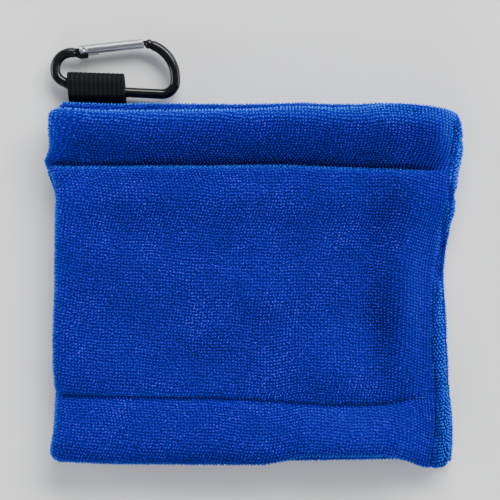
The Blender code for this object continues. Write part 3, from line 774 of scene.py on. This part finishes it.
def rounded_route(start, corners, end, step=6.0):
    """A flat route from start to end, with each corner rounded by its radius."""
    stops = [Vector(start)] + [Vector(place) for place, radius in corners] + [Vector(end)]
    points = [stops[0]]
    for i, (place, radius) in enumerate(corners, 1):
        corner = stops[i]
        back, ahead = (stops[i - 1] - corner).normalized(), (stops[i + 1] - corner).normalized()
        half = back.angle(ahead) / 2
        centre = corner + (back + ahead).normalized() * radius / sin(half)
        first, last = corner + back * radius / tan(half), corner + ahead * radius / tan(half)
        count = max(2, ceil(degrees(pi - 2 * half) / step))
        arm = first - centre
        sweep = arm.angle_signed(last - centre)
        for k in range(count + 1):
            c, s = cos(sweep * k / count), sin(sweep * k / count)
            points.append(centre + Vector((arm.x * c + arm.y * s, arm.y * c - arm.x * s)))
    return np.array([tuple(p) for p in points + [stops[-1]]])


def evenly(path, step):
    """The same path with points about step apart."""
    gone = np.concatenate([[0], np.cumsum(np.linalg.norm(np.diff(path, axis=0), axis=1))])
    at = np.linspace(0, gone[-1], max(2, int(gone[-1] / step)))
    return np.stack([np.interp(at, gone, path[:, k]) for k in range(path.shape[1])], axis=-1)


def make_webbing(material):
    """One strip in the (y, z) plane: in under the hem, out again, and round through the free loop."""
    inner = FOLD_Y - WEB_THICK / 2
    corners = [((LOOP_WALL_Y, WEB_UPPER), 0.7), ((LOOP_WALL_Y, LOOP_TOP_Z), 2.2), ((inner, LOOP_TOP_Z), 3.4),
               ((inner, WEB_Z), 2.6)]
    route = evenly(rounded_route((SEWN_FROM + 0.5, WEB_UPPER), corners, (SEWN_FROM + 0.5, WEB_Z)), 0.4)
    tangent = np.gradient(route, axis=0)
    tangent /= np.linalg.norm(tangent, axis=1, keepdims=True)
    normal = np.stack([-tangent[:, 1], tangent[:, 0]], axis=-1)
    half = 126
    across = np.linspace(WEB_LEFT, WEB_RIGHT, half)
    share = (across - WEB_LEFT) / (WEB_RIGHT - WEB_LEFT)
    rib = 0.11 * np.cos(2 * pi * RIBS * share) + 0.03 * np.cos(4 * pi * RIBS * share)
    edge = np.sqrt(np.clip(1 - (1 - np.minimum(share, 1 - share) / 0.03) ** 2, 0, 1))
    edge = np.where(np.minimum(share, 1 - share) >= 0.03, 1, 0.25 + 0.75 * edge)
    thick = WEB_THICK / 2 * edge
    gone = np.arange(len(route)) * 0.4
    pick = 0.035 * np.sin(2 * pi * gone / 1.3)[:, None] * np.cos(pi * RIBS * 2 * share + pi / 2)[None]
    waver = 0.06 * np.sin(gone / 2.1)
    rings = []
    for sign in (1, -1):
        lift = sign * thick[None] + sign * (rib[None] + pick) * edge[None] * 0.8
        y = route[:, :1] + normal[:, :1] * lift
        z = route[:, 1:] + normal[:, 1:] * lift
        x = np.broadcast_to(across[None], y.shape) + waver[:, None] * (2 * share - 1)[None]
        out = np.maximum(y - FLEX_Y, 0)
        y = y - WEB_SLOPE * out / (FOLD_Y - FLEX_Y) * (across - WEB_LEFT)[None]
        x = x - WEB_SKEW * out
        rings.append(np.stack([x, y, z], axis=-1)[:, ::sign])
    ring = np.concatenate(rings, axis=1)
    columns = ring.shape[1]
    faces = grid_faces(len(route), columns, wrap=True)
    first = [[i, i + 1, columns - i - 2, columns - i - 1] for i in range(half - 1)]
    last = (np.array(first) + (len(route) - 1) * columns)[:, ::-1]
    mesh = mesh_from("webbing", ring, np.vstack([faces, first, last]))
    return add("webbing", mesh, material)


# ---------------------------------------------------------------- carabiner


def gate_place():
    return Matrix.Translation(Vector((*PIVOT, ROD_Z)) * MM) @ Matrix.Rotation(GATE_ANGLE, 4, "Z")


def plate(name, outline, thickness):
    """A flat outline in the gate's frame, extruded evenly to both sides."""
    mesh = bpy.data.meshes.new(name)
    bm = bmesh.new()
    verts = [bm.verts.new((x * MM, y * MM, -thickness / 2 * MM)) for x, y in outline]
    grown = bmesh.ops.extrude_face_region(bm, geom=[bm.faces.new(verts)])
    raised = [item for item in grown["geom"] if isinstance(item, bmesh.types.BMVert)]
    bmesh.ops.translate(bm, verts=raised, vec=(0, 0, thickness * MM))
    bmesh.ops.recalc_face_normals(bm, faces=bm.faces)
    bm.to_mesh(mesh)
    bm.free()
    obj = add(name, mesh)
    obj.matrix_world = gate_place()
    return obj


def rod_between(name, radius, start, end):
    start, end = Vector(start), Vector(end)
    mesh = bpy.data.meshes.new(name)
    bm = bmesh.new()
    place = (end - start).to_track_quat("Z", "Y").to_matrix().to_4x4()
    place = Matrix.Translation((start + end) / 2 * MM) @ place
    bmesh.ops.create_cone(bm, cap_ends=True, segments=64, radius1=radius * MM, radius2=radius * MM,
                          depth=(end - start).length * MM, matrix=place)
    bm.to_mesh(mesh)
    bm.free()
    obj = add(name, mesh)
    obj.matrix_world = gate_place()
    return obj


def turned(name, profile, material, steps=48):
    """A solid of revolution about z from a profile of (radius, z) that starts and ends on the axis."""
    turn = np.linspace(0, 2 * pi, steps, endpoint=False)
    profile = np.array(profile, float)
    rings = np.stack([profile[:, :1] * np.cos(turn), profile[:, :1] * np.sin(turn),
                      np.broadcast_to(profile[:, 1:], (len(profile), steps))], axis=-1)
    obj = add(name, mesh_from(name, rings, grid_faces(len(profile), steps, wrap=True)), material)
    bm = bmesh.new()
    bm.from_mesh(obj.data)
    bmesh.ops.remove_doubles(bm, verts=bm.verts, dist=1e-6)
    bmesh.ops.recalc_face_normals(bm, faces=bm.faces)
    bm.to_mesh(obj.data)
    bm.free()
    return obj


def carve(obj, others):
    """Joins or cuts obj with others, given as (object, operation), and applies the result."""
    for other, operation in others:
        change = obj.modifiers.new(other.name, "BOOLEAN")
        change.operation = operation
        change.solver = "EXACT"
        change.object = other
    bpy.context.view_layer.update()
    mesh = bpy.data.meshes.new_from_object(obj.evaluated_get(bpy.context.evaluated_depsgraph_get()))
    obj.modifiers.clear()
    obj.data = mesh
    for other, _ in others:
        bpy.data.objects.remove(other)
    mesh.shade_smooth()
    mesh.set_sharp_from_angle(angle=radians(35))
    return obj


def make_rod(material):
    """The frame: a bent rod, grooved near its nose, with a tongue at the hinge and a blade at the nose."""
    route = evenly(rounded_route(NOSE, ROD_CORNERS, TONGUE_ROOT, step=3.0), 0.5)
    route = route[1:-2]  # the rounded ends take up this length, and the gate turns past them
    path = np.column_stack([route, np.full(len(route), ROD_Z)])
    gone = np.concatenate([[0], np.cumsum(np.linalg.norm(np.diff(path, axis=0), axis=1))])
    radius = np.full(len(path), ROD / 2)
    radius *= 1 - 0.16 * bump_at(gone - 1.6, 0.45)
    radius *= 0.86 + 0.14 * smooth(gone, 0.0, 0.5)
    frame_rod = tubes("carabiner_rod", [path], radius, 40, material)
    tongue = [(-4.8, -1.7), (-1.6, -3.0), (0.9, -3.0), (1.3, -1.3), (1.3, 0.7), (-4.6, 1.0)]
    tip = GATE_LENGTH
    blade = [(tip + 2.5, -0.9), (tip + 2.5, 0.9), (tip - 2.5, 0.9), (tip - 2.5, -0.9), (tip - 2.0, -0.9),
             (tip - 2.0, 0.0), (tip + 0.2, 0.0), (tip + 0.2, -0.9)]
    hole = rod_between("rivet_hole", RIVET_R + FIT, (0, 0, -2), (0, 0, 2))
    return carve(frame_rod, [(plate("tongue", tongue, 1.1), "UNION"), (plate("blade", blade, 1.0), "UNION"),
                             (hole, "DIFFERENCE")])


def make_gate(material):
    """A drawn tube with chamfered ends, bored and slotted at both ends."""
    chamfer = 0.22
    low, high = -GATE_OVERHANG, GATE_LENGTH
    profile = [(0, low), (TUBE_R - chamfer, low), (TUBE_R, low + chamfer), (TUBE_R, high - chamfer),
               (TUBE_R - chamfer, high), (0, high)]
    gate = turned("gate", profile, material, steps=64)
    gate.matrix_world = gate_place() @ Matrix.Rotation(pi / 2, 4, "Y")
    end = GATE_LENGTH
    lips = plate("slot_lips", [(1.2, -2.1), (4.9, -2.1), (5.1, -1.2), (1.0, -1.2)], SLOT + 0.6)
    cuts = [
        rod_between("spring_bore", BORE_R, (-GATE_OVERHANG - 1, 0, 0), (13.1, 0, 0)),
        rod_between("nose_bore", BORE_R, (end - 4, 0, 0), (end + 1, 0, 0)),
        plate("hinge_slot", [(-3, -3), (5.5, -3), (5.5, 0), (2.4, 1.4), (-3, 1.4)], SLOT),
        plate("nose_slot", [(end - 3.2, 0), (end + 1, 0), (end + 1, 3), (end - 3.2, 3)], SLOT),
        rod_between("gate_rivet_hole", RIVET_R + FIT, (0, 0, -3), (0, 0, 3)),
        rod_between("latch_pin_hole", PIN_R + FIT, (*PIN_AT, -3), (*PIN_AT, 3)),
    ]
    return carve(gate, [(lips, "UNION")] + [(cut, "DIFFERENCE") for cut in cuts])


def make_rivet(material):
    reach, head = TUBE_R + 0.08, 0.34
    middle = (RIVET_HEAD_R + 0.42) / 2
    lip = RIVET_HEAD_R - middle
    arc = np.radians([0, 30, 60, 90, 120, 150, 180])
    ring = [(middle - lip * cos(a), reach + head * sin(a)) for a in arc]
    upper = [(0, reach - 0.12), (middle - lip - 0.08, reach - 0.12)] + ring + [(RIVET_R, reach - 0.02)]
    profile = upper + [(r, -z) for r, z in reversed(upper)]
    rivet = turned("rivet", profile, material)
    rivet.matrix_world = gate_place()
    return rivet


# ---------------------------------------------------------------- scene


def make_camera():
    data = bpy.data.cameras.new("camera")
    data.lens = LENS
    data.sensor_width = SENSOR
    camera = bpy.data.objects.new("camera", data)
    camera.location = Vector((*VIEW_CENTRE, VIEW_Z + VIEW_WIDTH * LENS / SENSOR)) * MM
    bpy.context.scene.collection.objects.link(camera)
    bpy.context.scene.camera = camera


def make_light(name, place, size, watts, colour):
    data = bpy.data.lights.new(name, "AREA")
    data.shape = "RECTANGLE"
    data.size, data.size_y = size
    data.energy = watts
    data.color = colour
    lamp = bpy.data.objects.new(name, data)
    lamp.location = place
    aim = Vector((0, 0, 0)) - Vector(place)
    lamp.rotation_euler = aim.to_track_quat("-Z", "Y").to_euler()
    bpy.context.scene.collection.objects.link(lamp)


def make_world():
    """A dim room that is lighter overhead than round its sides."""
    world = bpy.data.worlds.new("studio")
    world.use_nodes = True
    tree = world.node_tree
    background = tree.nodes["Background"]
    background.inputs["Color"].default_value = (0.86, 0.90, 0.95, 1)
    split = tree.nodes.new("ShaderNodeSeparateXYZ")
    strength = tree.nodes.new("ShaderNodeMapRange")
    for socket, value in (("From Min", 0.1), ("From Max", 0.9), ("To Min", 0.08), ("To Max", 0.36)):
        strength.inputs[socket].default_value = value
    tree.links.new(tree.nodes.new("ShaderNodeTexCoord").outputs["Generated"], split.inputs[0])
    tree.links.new(split.outputs["Z"], strength.inputs["Value"])
    tree.links.new(strength.outputs["Result"], background.inputs["Strength"])
    return world


def make_studio():
    make_light("back_softbox", (0.62, 1.40, 1.06), (2.1, 0.75), 88.0, (1.0, 0.995, 0.985))
    make_light("right_softbox", (1.25, 0.15, 0.32), (0.8, 0.35), 7.0, (1.0, 0.995, 0.985))
    make_light("left_softbox", (-1.25, 0.15, 0.32), (0.8, 0.35), 11.0, (0.98, 0.99, 1.0))
    make_light("front_fill", (-0.2, -1.4, 0.60), (1.2, 0.6), 19.0, (0.99, 0.995, 1.0))
    bpy.context.scene.world = make_world()
    reach = 1500.0
    corners = [(-reach, -reach, 0), (reach, -reach, 0), (reach, reach, 0), (-reach, reach, 0)]
    add("floor", mesh_from("floor", corners, [[0, 1, 2, 3]]), floor_material())


def on_towel(pieces):
    for piece in pieces:
        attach(piece, "towel")


def repaint(node, material):
    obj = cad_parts[node]
    for holder in obj.material_slots:
        holder.link = "OBJECT"
        holder.material = material


def make_towel():
    pile, ground = pile_material(), ground_material()
    blue_thread = thread_material("blue_thread_twist", rgba(0.002, 0.012, 0.13), rgba(0.005, 0.03, 0.26))
    front = sheet_grid(1, FRONT_LEFT, front_inset, lambda x: along(FRONT_DROP, x),
                       FRONT_BOTTOM, front_height)
    back = sheet_grid(-1, BACK_LEFT, lambda y: 0.0 * y, lambda x: 0.0 * x, BACK_BOTTOM, back_height)
    front_sheet = cloth_piece("front_terry", front, 1, ground)
    back_sheet = cloth_piece("back_terry", back, -1, ground)
    rows = front.shape[0]
    front_pile = make_pile("front_pile", front, 1, 5, rows - 12, pile)
    back_pile = make_pile("back_pile", back, -1, 5, rows - 12, pile, sides=4, segments=4)
    x = np.linspace(-64, 62, 60)
    hem = along(HEM_SEAM, x)
    seam = along(BOTTOM_SEAM, x)
    y = np.linspace(-70, 43, 60)
    side_x = along(SIDE_SEAM, y)
    sewn = [
        ("front_hem_stitches", "front_hem_thread", (x, hem, front_height(x, hem) + 0.75)),
        ("bottom_seam_stitches", "bottom_seam_thread", (x, seam, front_height(x, seam) + 0.75)),
        ("back_hem_stitches", "back_hem_thread", (x, hem, back_height(x, hem) - 0.75)),
        ("side_seam_stitches", "side_seam_thread", (side_x, y, front_height(side_x, y) + 0.75)),
        ("left_seam_stitches", "left_seam_thread", (along(FRONT_LEFT, y) + CLOTH + 1.0, y, 0 * y + SEAM_Z)),
    ]
    threads = []
    for name, node, route in sewn:
        piece = stitches(name, np.stack(route, axis=-1), 0.19, blue_thread)
        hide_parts(node)
        threads.append(piece)
    on_towel([front_sheet, back_sheet, *front_pile, *back_pile])
    on_towel(threads)
    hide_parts("front_panel")
    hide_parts("back_panel")


def make_strap():
    weave = webbing_material()
    black_thread = thread_material("black_thread_twist", rgba(0.003, 0.003, 0.004), rgba(0.02, 0.02, 0.024))
    strap = make_webbing(weave)
    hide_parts("webbing_sewn_end", "webbing_loop")
    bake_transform(strap)
    x0, x1, y0, y1 = WEB_LEFT + 2, WEB_RIGHT - 2, SEWN_FROM + 3, SEWN_TO - 1.5
    box = np.array([(x0, y0), (x1, y0), (x1, y1), (x0, y1), (x0, y0), (x1, y1)], float)
    route = evenly(np.column_stack([box, np.full(len(box), 0.35)]), 0.5)
    tack = stitches("webbing_tack_stitches", route, 0.14, black_thread, length=2.2, up=(0, 0, -1))
    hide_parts("webbing_tack_thread")
    on_towel([tack])


def make_carabiner():
    rod = make_rod(anodised_material())
    brushed = brushed_material("brushed_gate", rgba(0.27, 0.28, 0.31), rgba(0.44, 0.45, 0.47), 0.28, 0.42,
                               GATE_ANGLE)
    gate = make_gate(brushed)
    steel = brushed_material("turned_steel", rgba(0.45, 0.45, 0.47), rgba(0.72, 0.72, 0.74), 0.18, 0.32, 0.0)
    rivet = make_rivet(steel)
    for piece, body, slot, node in (
        (rod, "carabiner", "black_anodised", "carabiner_frame"),
        (gate, "gate", "brushed_aluminium", "gate_tube"),
        (rivet, "carabiner", "steel", "hinge_rivet"),
    ):
        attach(piece, body)
        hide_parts(node)
    for node in ("latch_pin", "gate_spring", "spring_plunger"):
        repaint(node, steel)


make_camera()
make_studio()
make_towel()
make_strap()
make_carabiner()
